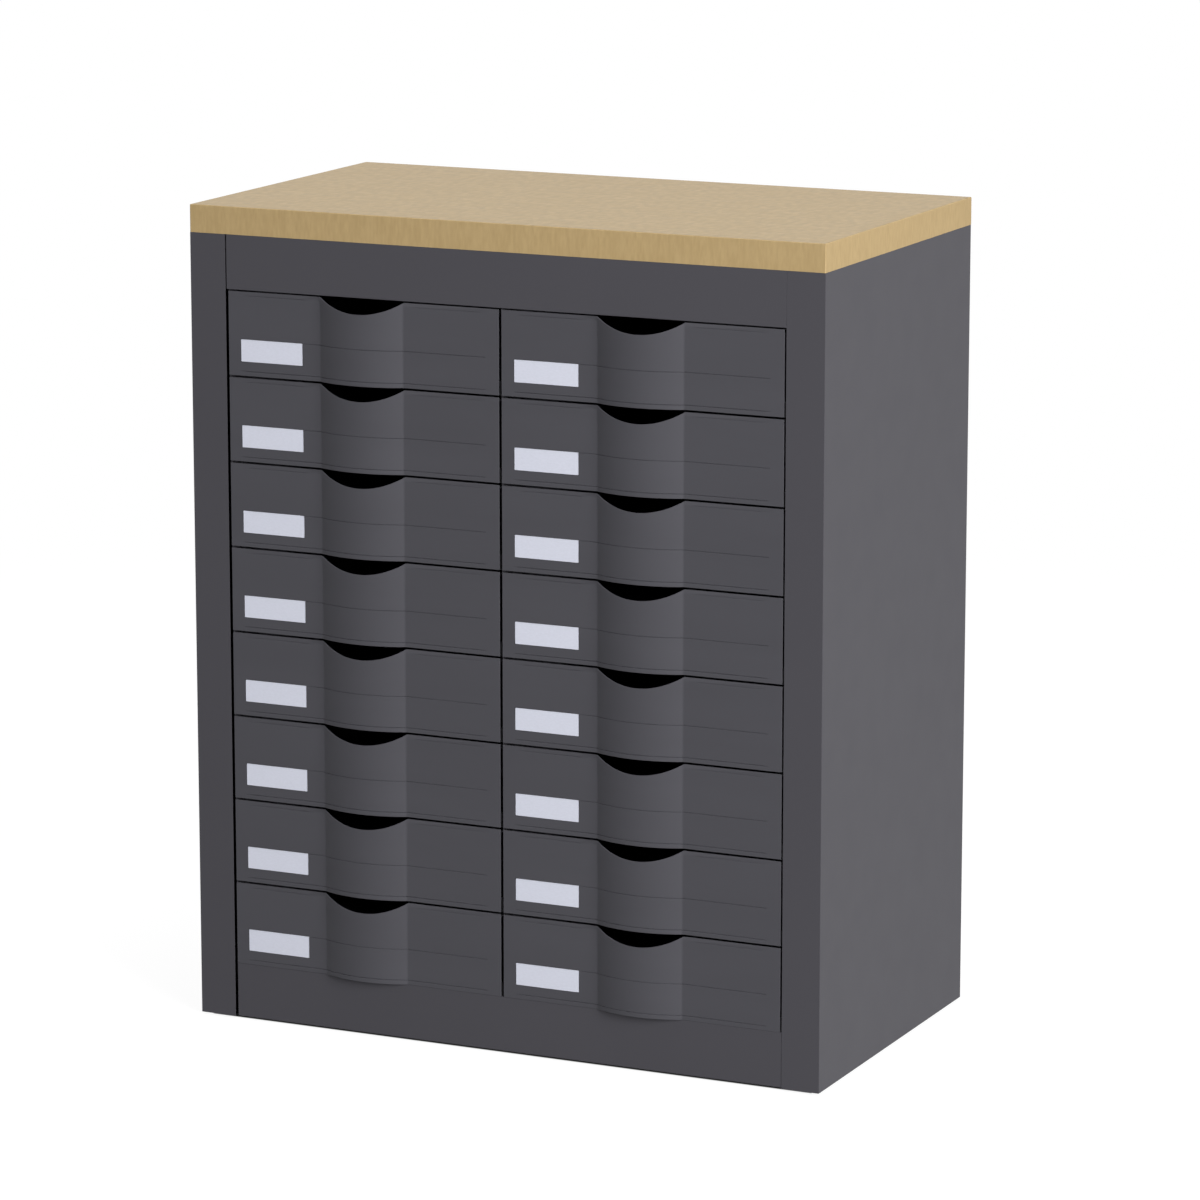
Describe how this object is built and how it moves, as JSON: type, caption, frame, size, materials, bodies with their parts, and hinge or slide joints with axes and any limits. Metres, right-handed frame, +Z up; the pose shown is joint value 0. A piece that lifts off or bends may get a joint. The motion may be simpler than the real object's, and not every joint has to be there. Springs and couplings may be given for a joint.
{
  "type": "drawer sorting station",
  "caption": "Low free-standing steel cabinet with columns of moulded slide-out drawers, finger cuts and label cards, under a wood-look worktop.",
  "frame": {"origin": "on the floor, in the middle of the outline: midway between the sides, and midway between the drawers' bulges and the back", "axes": "+Z up, -Y towards the user (the way the drawers pull out), +X to the user's right"},
  "size_m": [0.616, 0.3517, 0.751],
  "materials": {
    "case_paint": "anthracite powder coat, fine texture, semi-matt",
    "drawer_plastic": "anthracite moulded plastic, fine matt grain",
    "worktop_wood": "pale beech look, satin",
    "edging_wood": "beech-look edge band, satin",
    "label_card": "plain pale card, matt",
    "runner_steel": "anthracite powder coat, rubbed on the ledges",
    "zinc_steel": "bright zinc",
    "glide_plastic": "black, matt"
  },
  "bodies": {
    "case": {"left_side_panel": "case_paint", "right_side_panel": "case_paint", "top_rail": "case_paint", "plinth": "case_paint", "base_panel": "case_paint", "top_panel": "case_paint", "back_panel": "case_paint", "left_liner": "case_paint", "right_liner": "case_paint", "centre_partition": "case_paint", "floor_glides": "glide_plastic", "worktop_board": "worktop_wood", "worktop_edging": "edging_wood", "worktop_screws": "zinc_steel", "left_outer_runners": "runner_steel", "left_inner_runners": "runner_steel", "right_inner_runners": "runner_steel", "right_outer_runners": "runner_steel"},
    "left_drawer_1": {"left_drawer_1": "drawer_plastic", "left_drawer_1_label": "label_card"},
    "left_drawer_2": {"left_drawer_2": "drawer_plastic", "left_drawer_2_label": "label_card"},
    "left_drawer_3": {"left_drawer_3": "drawer_plastic", "left_drawer_3_label": "label_card"},
    "left_drawer_4": {"left_drawer_4": "drawer_plastic", "left_drawer_4_label": "label_card"},
    "left_drawer_5": {"left_drawer_5": "drawer_plastic", "left_drawer_5_label": "label_card"},
    "left_drawer_6": {"left_drawer_6": "drawer_plastic", "left_drawer_6_label": "label_card"},
    "left_drawer_7": {"left_drawer_7": "drawer_plastic", "left_drawer_7_label": "label_card"},
    "left_drawer_8": {"left_drawer_8": "drawer_plastic", "left_drawer_8_label": "label_card"},
    "right_drawer_1": {"right_drawer_1": "drawer_plastic", "right_drawer_1_label": "label_card"},
    "right_drawer_2": {"right_drawer_2": "drawer_plastic", "right_drawer_2_label": "label_card"},
    "right_drawer_3": {"right_drawer_3": "drawer_plastic", "right_drawer_3_label": "label_card"},
    "right_drawer_4": {"right_drawer_4": "drawer_plastic", "right_drawer_4_label": "label_card"},
    "right_drawer_5": {"right_drawer_5": "drawer_plastic", "right_drawer_5_label": "label_card"},
    "right_drawer_6": {"right_drawer_6": "drawer_plastic", "right_drawer_6_label": "label_card"},
    "right_drawer_7": {"right_drawer_7": "drawer_plastic", "right_drawer_7_label": "label_card"},
    "right_drawer_8": {"right_drawer_8": "drawer_plastic", "right_drawer_8_label": "label_card"}
  },
  "joints": [
    {"name": "left_drawer_1_slide", "type": "slide", "parent": "case", "child": "left_drawer_1", "axis": [0, -1, 0], "range_m": [0, 0.24]},
    {"name": "left_drawer_2_slide", "type": "slide", "parent": "case", "child": "left_drawer_2", "axis": [0, -1, 0], "range_m": [0, 0.24]},
    {"name": "left_drawer_3_slide", "type": "slide", "parent": "case", "child": "left_drawer_3", "axis": [0, -1, 0], "range_m": [0, 0.24]},
    {"name": "left_drawer_4_slide", "type": "slide", "parent": "case", "child": "left_drawer_4", "axis": [0, -1, 0], "range_m": [0, 0.24]},
    {"name": "left_drawer_5_slide", "type": "slide", "parent": "case", "child": "left_drawer_5", "axis": [0, -1, 0], "range_m": [0, 0.24]},
    {"name": "left_drawer_6_slide", "type": "slide", "parent": "case", "child": "left_drawer_6", "axis": [0, -1, 0], "range_m": [0, 0.24]},
    {"name": "left_drawer_7_slide", "type": "slide", "parent": "case", "child": "left_drawer_7", "axis": [0, -1, 0], "range_m": [0, 0.24]},
    {"name": "left_drawer_8_slide", "type": "slide", "parent": "case", "child": "left_drawer_8", "axis": [0, -1, 0], "range_m": [0, 0.24]},
    {"name": "right_drawer_1_slide", "type": "slide", "parent": "case", "child": "right_drawer_1", "axis": [0, -1, 0], "range_m": [0, 0.24]},
    {"name": "right_drawer_2_slide", "type": "slide", "parent": "case", "child": "right_drawer_2", "axis": [0, -1, 0], "range_m": [0, 0.24]},
    {"name": "right_drawer_3_slide", "type": "slide", "parent": "case", "child": "right_drawer_3", "axis": [0, -1, 0], "range_m": [0, 0.24]},
    {"name": "right_drawer_4_slide", "type": "slide", "parent": "case", "child": "right_drawer_4", "axis": [0, -1, 0], "range_m": [0, 0.24]},
    {"name": "right_drawer_5_slide", "type": "slide", "parent": "case", "child": "right_drawer_5", "axis": [0, -1, 0], "range_m": [0, 0.24]},
    {"name": "right_drawer_6_slide", "type": "slide", "parent": "case", "child": "right_drawer_6", "axis": [0, -1, 0], "range_m": [0, 0.24]},
    {"name": "right_drawer_7_slide", "type": "slide", "parent": "case", "child": "right_drawer_7", "axis": [0, -1, 0], "range_m": [0, 0.24]},
    {"name": "right_drawer_8_slide", "type": "slide", "parent": "case", "child": "right_drawer_8", "axis": [0, -1, 0], "range_m": [0, 0.24]}
  ]
}
